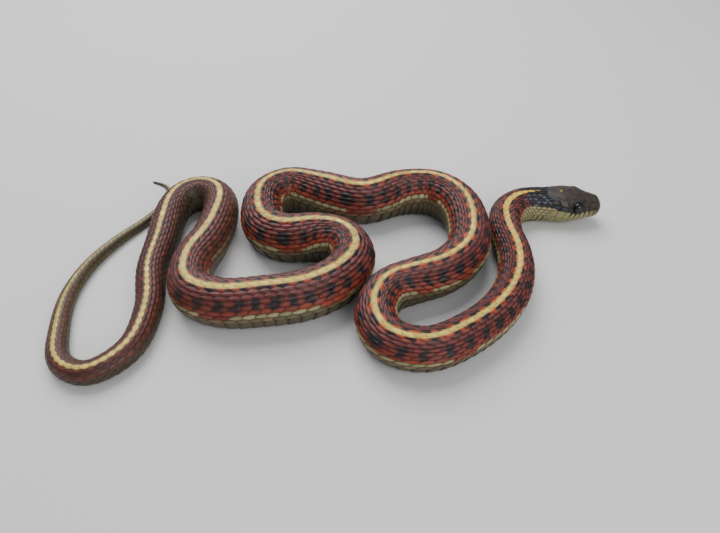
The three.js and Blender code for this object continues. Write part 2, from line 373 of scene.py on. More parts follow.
@dataclass
class Markings:
    """The snake's colours, worked out from where a point lies on the body.

    Spans are distances behind the nape, or shares of the way from the back to the belly plates. A
    lane is two such shares: one over which a row of marks sets in, and one over which it ends.
    """

    seed: int = 41
    drift_pitches: tuple = (5.1, 8.7, 13.3, 23.0, 47.0)  # in scales
    drift_gain: float = 1.6
    spot_period: float = 1.46  # in scales, far back
    spots_spared: float = 12.0  # how many spots fewer the front has, because they lie wider apart there
    spots_close_up: float = 45.0  # in scales
    spot_wander: float = 0.16  # in spots
    side_shift: float = 0.37  # in spots, from one flank to the other
    low_spot_edge: tuple = (0.36, 0.62)  # of the way from a spot's middle to the middle of the gap
    high_spot_edge: tuple = (0.38, 0.64)
    low_lane: tuple = ((0.33, 0.41), (0.65, 0.72))
    high_lane: tuple = ((0.04, 0.06), (0.15, 0.25))
    fringe_end: tuple = (0.15, 0.20)
    brick_span: tuple = (0.2, 0.5)
    orange_span: tuple = (0.50, 0.74)
    orange_all_over: float = 0.08
    orange_low: float = 0.55  # more of it on the low rows, and less of that on the hind body
    orange_hind_loss: float = 0.7
    orange_between: float = 0.75  # more of it between the high spots, fading along the body
    between_fades: tuple = (120.0, 260.0)
    orange_mean: float = 0.70
    orange_wander: float = 0.35
    fringe_fades: tuple = (150.0, 300.0)
    pale_row: tuple = (0.785, 0.80)
    low_row: tuple = (0.885, 0.90)
    group_beats: tuple = (1.37, 0.61)  # how fast the two waves run that break the pale row into groups
    group_gaps: tuple = (-0.75, -0.55)  # below the first, the waves leave a gap
    rust_mean: float = 0.15
    rust_wander: float = 0.3
    hind_span: tuple = (340.0, 430.0)
    tail_span: tuple = (VENT + 40.0, VENT + 105.0)
    hind_back_end: tuple = (0.7, 0.85)
    hind_low_start: tuple = (0.48, 0.70)
    streaks_a_side: float = 4.0
    streak_width: float = 0.16
    nape_span: tuple = (5.0, 13.0)
    nape_end: tuple = (0.67, 0.71)
    throat_span: tuple = (16.0, 55.0)
    throat_top: tuple = ((8.0, 0.655), (22.0, 0.79))
    throat_edge: float = 0.04
    throat_under: tuple = (20.0, 90.0)
    stripe_warm_end: tuple = (5.0, 70.0)
    stripe_dulls: tuple = (VENT, 600.0)
    belly_ends: tuple = (0.3, 0.95)
    belly_greens: tuple = (VENT - 20.0, VENT + 40.0)
    orange: Wash = Wash(Tint.ORANGE, 1.0)
    fringe: Wash = Wash(Tint.FRINGE, 0.4)
    low_spots: Wash = Wash(Tint.SOOT, 0.96, hind_loss=0.6)
    high_spots: Wash = Wash(Tint.SOOT, 0.90, hind_loss=0.3)
    pale: Wash = Wash(Tint.PALE_OLIVE, 1.0, hind_loss=0.6)
    hind_brown: Wash = Wash(Tint.TAIL_BROWN, 0.45)
    hind_olive: Wash = Wash(Tint.HIND_OLIVE, 0.85)
    streaks: Wash = Wash(Tint.SOOT, 0.55)
    nape: Wash = Wash(Tint.SOOT, 1.0)
    throat: Wash = Wash(Tint.CHIN, 0.85)

    def __post_init__(self) -> None:
        """Draws the slow drifts that keep the pattern from being regular."""
        random = np.random.default_rng(self.seed)
        self.drift_phase = random.uniform(0.0, 2.0 * math.pi, (2, len(self.drift_pitches)))

    def drift(self, at: FlankPlaces, phase: float) -> np.ndarray:
        """A smooth wander between about -1 and 1, different on either flank and for each phase.

        Args:
            at: The points.
            phase: Shifts the wander, so that one mark strays unlike another.

        Returns:
            The wander at each point.
        """
        phases = self.drift_phase[(np.asarray(at.side) > 0).astype(int)]
        waves = np.sin(at.step[..., None] * 2.0 * math.pi / np.array(self.drift_pitches) + phases + phase)
        return waves.mean(axis=-1) * self.drift_gain

    def _spots(self, at: FlankPlaces) -> tuple:
        """The dark spots of the lower and of the upper lane, which lie in each other's gaps.

        Args:
            at: The points.

        Returns:
            Both lanes, each 1 in a spot and 0 between two.
        """
        spared = self.spots_spared * (1.0 - np.exp(-at.step / self.spots_close_up))
        beat = at.step / self.spot_period - spared + self.spot_wander * self.drift(at, 0.0)
        beat = (beat + at.stray + np.where(at.side > 0, self.side_shift, 0.0)) % 1.0
        low = 1.0 - ramp(np.abs(beat - 0.5) * 2.0, *self.low_spot_edge)
        high = 1.0 - ramp(np.abs((beat + 0.5) % 1.0 - 0.5) * 2.0, *self.high_spot_edge)
        return low, high

    def flank(self, at: FlankPlaces) -> np.ndarray:
        """The colour of the back and sides.

        Args:
            at: The points.

        Returns:
            Linear colours.
        """
        hind = ramp(at.along, *self.hind_span)
        low_spot, high_spot = self._spots(at)
        high_lane = band(at.share, *self.high_lane)
        between = high_lane * (1.0 - high_spot)
        colour = mix(Tint.MAROON.rgb, Tint.BRICK.rgb, ramp(at.share, *self.brick_span))
        low = ramp(at.share, *self.orange_span) * (1.0 - self.orange_hind_loss * hind)
        high = between * (1.0 - 0.5 * ramp(at.along, *self.between_fades))
        orange = self.orange_all_over + self.orange_low * low + self.orange_between * high
        wander = self.orange_mean + self.orange_wander * self.drift(at, 2.0)
        colour = self.orange.over(colour, orange * wander)
        bright = 1.0 - 0.6 * ramp(at.along, *self.fringe_fades)
        colour = self.fringe.over(colour, between * (1.0 - ramp(at.share, *self.fringe_end)) * bright)
        colour = self.low_spots.over(colour, low_spot * band(at.share, *self.low_lane), hind)
        colour = self.high_spots.over(colour, high_spot * high_lane, hind)
        colour = self._lowest_rows(colour, at, hind)
        colour = self._hind_body(colour, at, hind)
        return self._nape_and_throat(colour, at)

    def _lowest_rows(self, colour: np.ndarray, at: FlankPlaces, hind: np.ndarray) -> np.ndarray:
        """Lays the pale row, broken into groups of scales, and the olive row next to the belly.

        Args:
            colour: The colours so far.
            at: The points.
            hind: 1 on the hind body, 0 on the front.

        Returns:
            Linear colours.
        """
        quick, slow = self.group_beats
        groups = np.sin(at.step * quick + at.side) + 0.8 * np.sin(at.step * slow + 2.0 * at.side)
        in_row = ramp(at.share, *self.pale_row) * ramp(groups, *self.group_gaps)
        colour = self.pale.over(colour, in_row, hind)
        rust = self.rust_mean + self.rust_wander * self.drift(at, 5.0)
        low_tint = mix(Tint.BELLY.rgb * 1.25, Tint.ORANGE.rgb * 0.7, rust)
        return mix(colour, low_tint, 0.95 * ramp(at.share, *self.low_row))

    def _hind_body(self, colour: np.ndarray, at: FlankPlaces, hind: np.ndarray) -> np.ndarray:
        """Turns the hind body brown above and olive below, with dark streaks, and the tail olive.

        Args:
            colour: The colours so far.
            at: The points.
            hind: 1 on the hind body, 0 on the front.

        Returns:
            Linear colours.
        """
        tail = ramp(at.along, *self.tail_span)
        colour = self.hind_brown.over(colour, hind * (1.0 - ramp(at.share, *self.hind_back_end)))
        colour = self.hind_olive.over(colour, hind * ramp(at.share, *self.hind_low_start))
        streak = bump_at((at.share * self.streaks_a_side) % 1.0, 0.5, self.streak_width)
        colour = self.streaks.over(colour, streak * hind * (1.0 - tail))
        side_line = bump_at(at.share, 0.5, self.streak_width)
        olive = mix(Tint.TAIL_OLIVE.rgb, Tint.SOOT.rgb * 1.6, 0.7 * side_line)
        return mix(colour, olive, 0.92 * tail)

    def _nape_and_throat(self, colour: np.ndarray, at: FlankPlaces) -> np.ndarray:
        """Lays the black patch behind the head and the pale sides of the throat.

        Args:
            colour: The colours so far.
            at: The points.

        Returns:
            Linear colours.
        """
        on_nape = (1.0 - ramp(at.along, *self.nape_span)) * (1.0 - ramp(at.share, *self.nape_end))
        colour = self.nape.over(colour, on_nape)
        top = column(self.throat_top, at.along, 1)
        on_throat = (1.0 - ramp(at.along, *self.throat_span)) * ramp(at.share, top, top + self.throat_edge)
        return self.throat.over(colour, on_throat)

    def stripe(self, along: np.ndarray) -> np.ndarray:
        """The colour of the stripe along the back: warmer at the front, dull towards the tail's tip."""
        colour = mix(Tint.STRIPE_FRONT.rgb, Tint.STRIPE.rgb, ramp(along, *self.stripe_warm_end))
        return mix(colour, Tint.TAIL_OLIVE.rgb * 2.2, 0.8 * ramp(along, *self.stripe_dulls))

    def belly(self, along: np.ndarray, across: np.ndarray) -> np.ndarray:
        """The colour of the belly plates, paler at their ends.

        Args:
            along: Distance behind the nape.
            across: 0 on the middle of the belly, 1 at a plate's end.

        Returns:
            Linear colours.
        """
        colour = mix(Tint.BELLY_DARK.rgb, Tint.BELLY.rgb, ramp(across, *self.belly_ends))
        colour = mix(colour, Tint.TAIL_OLIVE.rgb * 1.2, 0.7 * ramp(along, *self.belly_greens))
        return self.throat.over(colour, 1.0 - ramp(along, *self.throat_under))


class Nodes:
    """The nodes of a new material, added and wired in few words."""

    def __init__(self, name: str) -> None:
        """Starts a material with its shader."""
        self.material = bpy.data.materials.new(name)
        self.material.use_nodes = True
        self.tree = self.material.node_tree
        self.shader = self.tree.nodes["Principled BSDF"]

    def add(self, kind: str, inputs: dict | None = None, **settings: str) -> bpy.types.Node:
        """Adds a node.

        Args:
            kind: The node's kind, without the words that every shader node's kind starts with.
            inputs: Values of its inputs, by name or number.
            settings: Its own settings.

        Returns:
            The node.
        """
        node = self.tree.nodes.new(f"ShaderNode{kind}")
        for name, value in settings.items():
            setattr(node, name, value)
        self.fill(node, inputs or {})
        return node

    def fill(self, node: bpy.types.Node, inputs: dict) -> None:
        """Sets the values of a node's inputs."""
        for name, value in inputs.items():
            node.inputs[name].default_value = value

    def wire(self, *links: tuple) -> None:
        """Wires an output of one node to an input of the next, for each row of node, name, node, name."""
        for source, output, target, entry in links:
            self.tree.links.new(source.outputs[output], target.inputs[entry])


@dataclass(frozen=True)
class HideFinish:
    """Horny scale and skin: a satin surface over the markings that a piece carries."""

    name: str
    roughness: float = 0.46
    roughness_drop: float = 0.1  # where the grain is darkest
    roughness_rise: float = 0.14  # where the grain is palest
    specular: float = 0.32
    # in this finish, how far the fine grain mottles the colour
    mottle_and_sheen: float = 0.16
    bump_mm: float = 0.02
    bump_strength: float = 0.6
    grain_per_m: float = 2600.0
    grain_detail: float = 4.0

    def material(self) -> bpy.types.Material:
        """Builds the material.

        Returns:
            A material that reads the attribute named markings.
        """
        made = Nodes(self.name)
        made.fill(made.shader, {"Specular IOR Level": self.specular})
        markings = made.add("Attribute", attribute_name="markings")
        place = made.add("TexCoord")
        grain = made.add("TexNoise", {"Scale": self.grain_per_m, "Detail": self.grain_detail})
        shade = made.add("MapRange", {"From Min": 0.25, "From Max": 0.75, "To Min": 1.0 - self.mottle_and_sheen,
                                      "To Max": 1.0 + self.mottle_and_sheen})
        tinted = made.add("VectorMath", operation="SCALE")
        gloss = made.add("MapRange", {"To Min": self.roughness - self.roughness_drop,
                                      "To Max": self.roughness + self.roughness_rise})
        bump = made.add("Bump", {"Strength": self.bump_strength, "Distance": self.bump_mm * MM})
        made.wire(
            (place, "Object", grain, "Vector"),
            (grain, "Fac", shade, "Value"),
            (markings, "Color", tinted, 0),
            (shade, "Result", tinted, "Scale"),
            (tinted, "Vector", made.shader, "Base Color"),
            (grain, "Fac", gloss, "Value"),
            (gloss, "Result", made.shader, "Roughness"),
            (grain, "Fac", bump, "Height"),
            (bump, "Normal", made.shader, "Normal"),
        )
        return made.material


@dataclass(frozen=True)
class EyeFinish:
    """A wet dark eye: a round black pupil, a brown iris with a fine golden ring."""

    name: str
    centre: tuple
    pupil_mm: float = 0.82
    iris_mm: float = 1.35
    reach_mm: float = 2.0  # the radius that the rings are drawn out to
    sideways: float = 0.12  # how little the distance to the side counts, so that the rings face outwards

    def material(self) -> bpy.types.Material:
        """Builds the material, its rings drawn round the line through the eye's own middle.

        Returns:
            The eye's material.
        """
        made = Nodes(self.name)
        made.fill(made.shader, {"Roughness": 0.1, "Specular IOR Level": 0.3, "Coat Weight": 0.3,
                                "Coat Roughness": 0.03})
        place = made.add("TexCoord")
        centred = made.add("Mapping", {"Location": self.centre}, vector_type="TEXTURE")
        flat = made.add("VectorMath", {1: (1.0, self.sideways, 1.0)}, operation="MULTIPLY")
        radius = made.add("VectorMath", operation="LENGTH")
        share = made.add("Math", {1: self.reach_mm * MM}, operation="DIVIDE")
        rings = made.add("ValToRGB")
        pupil, iris = self.pupil_mm / self.reach_mm, self.iris_mm / self.reach_mm
        stops = ((0.0, (3, 3, 3)), (pupil, (4, 3, 3)), (pupil + 0.03, (58, 38, 18)),
                 (pupil + 0.08, (22, 13, 8)), (iris, (16, 10, 7)), (iris + 0.06, (5, 4, 4)))
        for position, _ in stops[2:]:
            rings.color_ramp.elements.new(position)
        for element, (position, colour) in zip(rings.color_ramp.elements, stops):
            element.position = position
            element.color = (*srgb(*colour), 1.0)
        made.wire(
            (place, "Object", centred, "Vector"),
            (centred, "Vector", flat, 0),
            (flat, "Vector", radius, 0),
            (radius, "Value", share, 0),
            (share, "Value", rings, "Fac"),
            (rings, "Color", made.shader, "Base Color"),
        )
        return made.material


def placed_object(name: str, mesh: bpy.types.Mesh, material: bpy.types.Material) -> bpy.types.Object:
    """Puts a finished mesh in the scene with its material.

    Args:
        name: Name of the piece.
        mesh: Its mesh.
        material: Its finish.

    Returns:
        The piece.
    """
    mesh.materials.append(material)
    piece = bpy.data.objects.new(name, mesh)
    bpy.context.scene.collection.objects.link(piece)
    return piece


def finished_mesh(name: str, shape: bmesh.types.BMesh, smooth: bool = True) -> bpy.types.Mesh:
    """Turns a finished bmesh into a mesh and frees it.

    Args:
        name: Name of the mesh.
        shape: What it is made from.
        smooth: Whether its faces are.

    Returns:
        The mesh.
    """
    for face in shape.faces:
        face.smooth = smooth
    mesh = bpy.data.meshes.new(name)
    shape.to_mesh(mesh)
    shape.free()
    return mesh


def spread_patches(along: np.ndarray, across: np.ndarray) -> np.ndarray:
    """Places on the unwrapped skin, kept a hundredth clear of the map's edges."""
    return np.stack([along, across], axis=-1) * 0.98 + 0.01


@dataclass
class PlateTemplate:
    """One scale as a closed lens: a domed top on a grid, and one flat face under it."""

    across: int
    along: int

    def __post_init__(self) -> None:
        """Makes the lens and keeps its points, faces and rim."""
        shape = bmesh.new()
        bmesh.ops.create_grid(shape, x_segments=self.along, y_segments=self.across, size=1.0)
        for vert in shape.verts:
            vert.co.z = (1.0 - vert.co.x**2) * (1.0 - vert.co.y**2)
        rim = [edge for edge in shape.edges if edge.is_boundary]
        bmesh.ops.contextual_create(shape, geom=rim)
        bmesh.ops.recalc_face_normals(shape, faces=shape.faces)
        points = np.array([vert.co[:] for vert in shape.verts])
        self.back = (points[None, :, 0] + 1.0) / 2.0  # 0 at the root, 1 at the free tip
        self.side = points[None, :, 1]  # -1 to 1, growing to the snake's left
        self.on_rim = points[:, 2] < 1e-6
        self.faces = [[vert.index for vert in face.verts] for face in shape.faces]
        shape.free()

    def joined(self, name: str, points: np.ndarray, colours: np.ndarray,
               patches: np.ndarray) -> bpy.types.Mesh:
        """Joins many copies of the lens, each already in its place, into one mesh.

        Args:
            name: Name of the mesh.
            points: Places in millimetres, one row of points for each copy.
            colours: A linear colour for each point.
            patches: The place of each point on the unwrapped skin.

        Returns:
            The joined mesh, smooth on top and sharp at each rim.
        """
        copies, count = points.shape[:2]
        sizes = np.array([len(face) for face in self.faces])
        corners = np.concatenate([np.array(face) for face in self.faces])
        all_corners = (corners[None] + count * np.arange(copies)[:, None]).ravel()
        all_sizes = np.tile(sizes, copies)
        mesh = bpy.data.meshes.new(name)
        mesh.vertices.add(copies * count)
        mesh.vertices.foreach_set("co", (points * MM).astype(np.float32).ravel())
        mesh.loops.add(len(all_corners))
        mesh.loops.foreach_set("vertex_index", all_corners.astype(np.int32))
        mesh.polygons.add(len(all_sizes))
        starts = np.r_[0, np.cumsum(all_sizes)[:-1]].astype(np.int32)
        mesh.polygons.foreach_set("loop_start", starts)
        mesh.polygons.foreach_set("use_smooth", np.ones(len(all_sizes), dtype=bool))
        mesh.update(calc_edges=True)
        edges = np.zeros(len(mesh.edges) * 2, dtype=np.int32)
        mesh.edges.foreach_get("vertices", edges)
        on_rim = np.tile(self.on_rim, copies)[edges.reshape(-1, 2)].all(axis=1)
        mesh.attributes.new("sharp_edge", "BOOLEAN", "EDGE").data.foreach_set("value", on_rim)
        tint = mesh.color_attributes.new(name="markings", type="FLOAT_COLOR", domain="POINT")
        opaque = np.concatenate([colours.reshape(-1, 3), np.ones((copies * count, 1))], axis=1)
        tint.data.foreach_set("color", opaque.astype(np.float32).ravel())
        unwrap = mesh.uv_layers.new(name="OFBake")
        unwrap.data.foreach_set("uv", patches.reshape(-1, 2)[all_corners].astype(np.float32).ravel())
        mesh.validate()
        return mesh


@dataclass
class Seats:
    """Where scales sit, one row for each."""

    step: np.ndarray  # the scale's number from the front
    row: np.ndarray  # 0 on the middle of the back, growing to the snake's left
    along: np.ndarray  # behind the nape
    turn: np.ndarray  # the angle round the body
    share: np.ndarray  # of the way from the back to the belly plates

    def where(self, kept: np.ndarray) -> "Seats":
        """Only the seats that a test keeps."""
        return Seats(*(values[kept] for values in vars(self).values()))


@dataclass
class ScaleCoat:
    """The keeled, overlapping scales of the back and sides, in a few joined pieces."""

    rows: ScaleRows
    markings: Markings
    template: PlateTemplate = field(default_factory=lambda: PlateTemplate(across=6, along=6))
    outer_row: int = 9
    length_share: float = 1.5  # of the pitch
    width_share: float = 0.72  # half the width, over the distance from row to row
    root_depth: float = 0.26
    tip_lift: float = 0.08
    tip_drop: float = 0.05
    root_at: float = 0.1  # where on half a wave the root lies, which gives its width
    early: float = 0.86  # under 1, the scale is widest before its middle
    fullness: float = 0.62  # under 1, its sides are fuller than a wave
    narrowest: float = 0.12
    rises: tuple = (-0.1, 0.75)  # from root to tip, where its surface comes up
    keel_rises: tuple = (0.05, 0.3)
    tip_falls: tuple = (0.8, 1.0)
    flattens: tuple = (300.0, 420.0)  # behind the nape
    keel: float = 0.2
    keel_width: float = 0.17  # of half the scale's width
    keel_on_back: float = 0.6  # how high the keel is on the row of the back, over the other rows'
    keel_at_belly: float = 0.25
    smooth_from: float = 0.88  # share round the body from which scales are nearly smooth
    edge_drop: float = 0.2
    hind_flatness: float = 0.45  # how much less keeled and rounded the scales of the hind body are
    seated_at: float = 0.42  # share of a scale's length that lies in front of its seat
    size_spread: float = 0.03
    seat_spread: float = 0.05
    patch: float = 0.003
    # angle round the body in degrees, and the place behind the nape where the scales begin
    front_edge: tuple = ((0, -0.3), (14, -0.8), (29, -2.4), (45, -4.6), (75, -4.6), (95, -2.6), (125, -2.6))
    # behind the nape, and the stripe's edge on the rows beside it: 0 on their keels, 1 at the inner rims
    stripe_reach: tuple = ((5, 0.95), (10, 0.25), (40, 0.25), (130, 0.62), (330, 0.56), (VENT - 30, 0.56),
                           (VENT + 20, 0.85))
    # behind the nape, and half the stripe's width on the row of the back
    stripe_half: tuple = ((VENT - 10, 1.2), (VENT + 80, 0.5))
    stripe_from: float = 4.2
    stripe_taper: float = 4.0
    stripe_soft: float = 0.12  # of half a scale, on the rows beside the back
    stripe_half_soft: float = 0.25
    tone_spread: float = 0.12
    stray_spread: float = 0.07
    spot_slant: float = 1.25  # how far in steps a scale reads the spots ahead and behind
    lane_slant: float = 0.045  # how far it reads the lanes to its sides
    without_flecks: float = 0.6  # share of the scales on the neck
    fleck_reach: float = 12.0
    fleck_rows: tuple = (0.2, 0.7)
    flecks: Wash = Wash(Tint.FLECK, 0.6)
    dark_rim: float = 0.72
    hind_rim_loss: float = 0.22
    stripe_rim_loss: float = 0.45
    side_rim: tuple = (0.55, 0.95)  # from the keel to the side
    tip_rim: tuple = (0.88, 1.0)  # from the root to the tip
    root_shade: float = 0.7
    root_shade_end: float = 0.35
    hind_lines: tuple = (330.0, 430.0)  # behind the nape, where the pale lines set in
    hind_line_cover: float = 0.45
    # a painted highlight along each keel: a gain on its colour, and a glint added on top
    keel_painted_highlight: float = 0.30
    keel_painted_glint: float = 0.012
    pieces: tuple = (("scales_front", -8.0, 120.0), ("scales_forebody", 120.0, 240.0),
                     ("scales_midbody", 240.0, 360.0), ("scales_hindbody", 360.0, VENT),
                     ("scales_tail", VENT, 700.0))

    def seats(self) -> Seats:
        """Finds where each scale sits, odd rows half a scale behind the even ones.

        Returns:
            The seats.
        """
        last = int(self.rows.steps[-1]) - 1
        numbers = range(-self.outer_row, self.outer_row + 1)
        step = np.concatenate([np.arange(1, last) + 0.5 * (number % 2) for number in numbers])
        row = np.repeat(numbers, last - 1)
        along = self.rows.along_at(step)
        turn = row * self.rows.row_turn(along)
        edge = self.rows.belly_edge(along)
        front = column(self.front_edge, np.degrees(np.abs(turn)), 1)
        kept = (np.abs(turn) < edge - 0.02) & (along > front) & (along < self.rows.course.length - 1.5)
        return Seats(step, row, along, turn, np.abs(turn) / edge).where(kept)

    def build(self, material: bpy.types.Material) -> list:
        """Builds the coat's pieces.

        Args:
            material: The finish of every scale.

        Returns:
            The pieces, front to back.
        """
        seats = self.seats()
        made = []
        for name, start, end in self.pieces:
            part = seats.where((seats.along >= start) & (seats.along < end))
            points, patches = self._shaped(part, start, min(end, self.rows.course.length))
            mesh = self.template.joined(name, points, self._coloured(part), patches)
            made.append(placed_object(name, mesh, material))
        return made

    def _shaped(self, seats: Seats, start: float, end: float) -> tuple:
        """The points of every scale, and their places on the unwrapped skin.

        Args:
            seats: Where the scales sit.
            start: Where their piece of the coat begins, behind the nape.
            end: Where it ends.

        Returns:
            Points in millimetres, and places on the map.
        """
        back, side, course = self.template.back, self.template.side, self.rows.course
        jitter = np.random.default_rng(7).normal(0.0, 1.0, (3, len(seats.along), 1))
        along, seat_turn = seats.along[:, None], seats.turn[:, None]
        length = self.rows.pitch(along) * self.length_share * (1.0 + self.size_spread * jitter[0])
        # Lancet outline: narrow root, widest before the middle, a blunt point at the tip.
        wave = np.sin(math.pi * (self.root_at + (1.0 - self.root_at) * back) ** self.early)
        outline = np.maximum(wave**self.fullness, self.narrowest)
        half_turn = self.rows.row_turn(along) * self.width_share * (1.0 + self.size_spread * jitter[1])
        turn = seat_turn + side * outline * half_turn
        place = along + (back - self.seated_at) * length + self.seat_spread * jitter[2]
        on_back = np.where(seats.row[:, None] == 0, self.keel_on_back, 1.0)
        at_belly = np.where(seats.share[:, None] > self.smooth_from, self.keel_at_belly, 1.0)
        keel = bump_at(side * outline, 0.0, self.keel_width) * ramp(back, *self.keel_rises)
        keel = self.keel * on_back * at_belly * keel
        rise = -self.root_depth + (self.root_depth + self.tip_lift) * ramp(back, *self.rises)
        fall = self.edge_drop * np.abs(side) ** 2.2 + self.tip_drop * ramp(back, *self.tip_falls)
        flatness = 1.0 - self.hind_flatness * ramp(along, *self.flattens)
        lift = (rise + (keel - fall) * flatness) * course.relief(along) * course.crowding(along, seat_turn)
        patches = spread_patches((along - start) / (end - start) + back * self.patch,
                                 0.5 + 0.45 * seat_turn / math.pi + side * self.patch / 2)
        return course.place(place, turn, lift), patches

    def _in_stripe(self, seats: Seats) -> np.ndarray:
        """How far each point of each scale lies in the stripe: 1 inside it.

        Args:
            seats: Where the scales sit.

        Returns:
            A row of points for each scale.
        """
        back, side = self.template.back, self.template.side
        along, row = seats.along[:, None], seats.row[:, None]
        reach = column(self.stripe_reach, along, 1)
        beside = ramp(-side * np.sign(row), reach, reach + self.stripe_soft) * (np.abs(row) == 1)
        # The stripe starts as a point behind the head.
        start = (along + 2.0 * back - self.stripe_from) / self.stripe_taper + 0.25 - np.abs(side)
        half = column(self.stripe_half, along, 1)
        on_back = ramp(start, 0.0, 0.15) * (1.0 - ramp(np.abs(side), half, half + self.stripe_half_soft))
        return np.where(row == 0, on_back, beside)

    def _coloured(self, seats: Seats) -> np.ndarray:
        """The colour of every point of every scale.

        Args:
            seats: Where the scales sit.

        Returns:
            Linear colours, a row of points for each scale.
        """
        back, side = self.template.back, self.template.side
        random = np.random.default_rng(11)
        each = (len(seats.step), 1)
        tone = 1.0 + self.tone_spread * random.normal(0.0, 1.0, each)
        stray = self.stray_spread * random.normal(0.0, 1.0, each)
        freckled = random.uniform(0.0, 1.0, each) > self.without_flecks
        along = seats.along[:, None]
        flank = np.where(seats.row[:, None] >= 0, 1.0, -1.0)
        step = seats.step[:, None] + self.spot_slant * (back - self.seated_at)
        share = seats.share[:, None] + self.lane_slant * side * flank
        colour = self.markings.flank(FlankPlaces(step, along, share, flank, stray))
        in_stripe = self._in_stripe(seats)
        colour = mix(colour, self.markings.stripe(along), in_stripe)
        colour = self._edged(colour, along, share, in_stripe)
        low, high = self.fleck_rows
        on_neck = freckled * (along < self.fleck_reach) * (share > low) * (share < high)
        colour = self.flecks.over(colour, on_neck * bump_at(back, 0.45, 0.3) * bump_at(side, 0.2, 0.5))
        return np.clip(colour * tone[..., None], DARKEST, PALEST)

    def _edged(self, colour: np.ndarray, along: np.ndarray, share: np.ndarray,
               in_stripe: np.ndarray) -> np.ndarray:
        """Darkens each scale's rim, draws the pale lines of the hind flanks and paints a highlight on the
        keel.

        Args:
            colour: The colours so far.
            along: Distance behind the nape.
            share: Share of the way from the back to the belly plates.
            in_stripe: 1 in the stripe along the back.

        Returns:
            Linear colours.
        """
        back, side = self.template.back, np.abs(self.template.side)
        hind = ramp(along, *self.hind_lines)
        at_root = self.root_shade * ramp(self.root_shade_end - back, 0.0, 0.2)
        rim = np.maximum(ramp(side, *self.side_rim), at_root)
        rim = np.maximum(rim, ramp(back, *self.tip_rim)) * (1.0 - self.stripe_rim_loss * in_stripe)
        colour = colour * (1.0 - (self.dark_rim - self.hind_rim_loss * hind) * rim)[..., None]
        line = bump_at(side, 0.8, 0.14) * hind * ramp(share, 0.3, 0.45) * (1.0 - ramp(back, 0.7, 0.9))
        pale = Tint.PALE_OLIVE.rgb * 0.8 + Tint.ORANGE.rgb * 0.3
        colour = mix(colour, pale, self.hind_line_cover * line)
        # A painted highlight and glint along each keel, left off the stripe.
        painted_keel_highlight = (bump_at(side, 0.0, 0.12) * ramp(back, 0.2, 0.5) * (1.0 - in_stripe))[..., None]
        return colour * (1.0 + self.keel_painted_highlight * painted_keel_highlight) + self.keel_painted_glint * painted_keel_highlight


@dataclass
class BellyPlates:
    """The broad plates under body and tail, one to a step."""

    rows: ScaleRows
    markings: Markings
    template: PlateTemplate = field(default_factory=lambda: PlateTemplate(across=20, along=4))
    overlap: float = 1.3
    bow: float = 0.105  # of the pitch, how far a plate's middle lies behind its ends
    tuck: float = 0.55  # of a row, how far the plates reach under the lowest scales
    root_depth: float = 0.24
    tip_lift: float = 0.06
    end_drop: float = 0.16
    end_drops: tuple = (0.86, 1.0)  # from the middle to an end
    rear_rim: tuple = (0.86, 1.0)  # from the root to the rear edge
    end_rim: tuple = (0.93, 1.0)
    rim_shade: float = 0.6
    tone_spread: float = 0.07
    patch: float = 0.003

    def build(self, name: str, material: bpy.types.Material) -> bpy.types.Object:
        """Builds all belly plates as one piece.

        Args:
            name: Name of the piece.
            material: Its finish.

        Returns:
            The piece.
        """
        back, side, course = self.template.back, self.template.side, self.rows.course
        step = np.arange(2.0, int(self.rows.steps[-1]) - 1.0)[:, None]
        along = self.rows.along_at(step)
        along = along[along[:, 0] > -1.0]
        reach = math.pi - self.rows.belly_edge(along) + self.tuck * self.rows.row_turn(along)
        bow = self.bow * (1.0 - side**2)
        place = along + (back - 0.5 + bow) * self.rows.pitch(along) * self.overlap
        rise = -self.root_depth + (self.root_depth + self.tip_lift) * ramp(back, 0.0, 0.8)
        drop = self.end_drop * ramp(np.abs(side), *self.end_drops)
        points = course.place(place, math.pi + side * reach, (rise - drop) * course.relief(along))
        colour = self.markings.belly(along, np.abs(side))
        edge = np.maximum(ramp(back, *self.rear_rim), ramp(np.abs(side), *self.end_rim))
        tone = 1.0 + self.tone_spread * np.random.default_rng(5).normal(0.0, 1.0, along.shape)
        colour = colour * (1.0 - self.rim_shade * edge)[..., None] * tone[..., None]
        unrolled = np.broadcast_arrays(along / course.length + back * self.patch, 0.5 + side * 0.2)
        patches = spread_patches(*unrolled)
        mesh = self.template.joined(name, points, np.clip(colour, DARKEST, PALEST), patches)
        return placed_object(name, mesh, material)


@dataclass
class HeadPlaces:
    """Points of the head's plain form, and where each lies among its features."""

    share: np.ndarray  # along the head, 0 at the nape and 1 at the snout
    x: np.ndarray
    side: np.ndarray  # from the middle line, positive on the snake's left
    z: np.ndarray
    out: np.ndarray  # how far the surface faces to the left, -1 to 1
    rise: np.ndarray  # how far it faces up, -1 to 1
    snout_round: np.ndarray  # 1 behind the snout's rounding, 0 at its tip
    mouth: np.ndarray  # height of the mouth line there
    lip_top: np.ndarray  # height of the upper lip's top edge there
    on_crown: np.ndarray  # 1 on the plates of the crown
    gap: np.ndarray  # distance from the nearest seam
    lip_gap: np.ndarray  # distance from the nearest seam between two lip plates
    from_eye: np.ndarray
    from_nostril: np.ndarray

    @property
    def flank(self) -> np.ndarray:
        """How far the surface faces to either side, 0 to 1."""
        return np.abs(self.out)


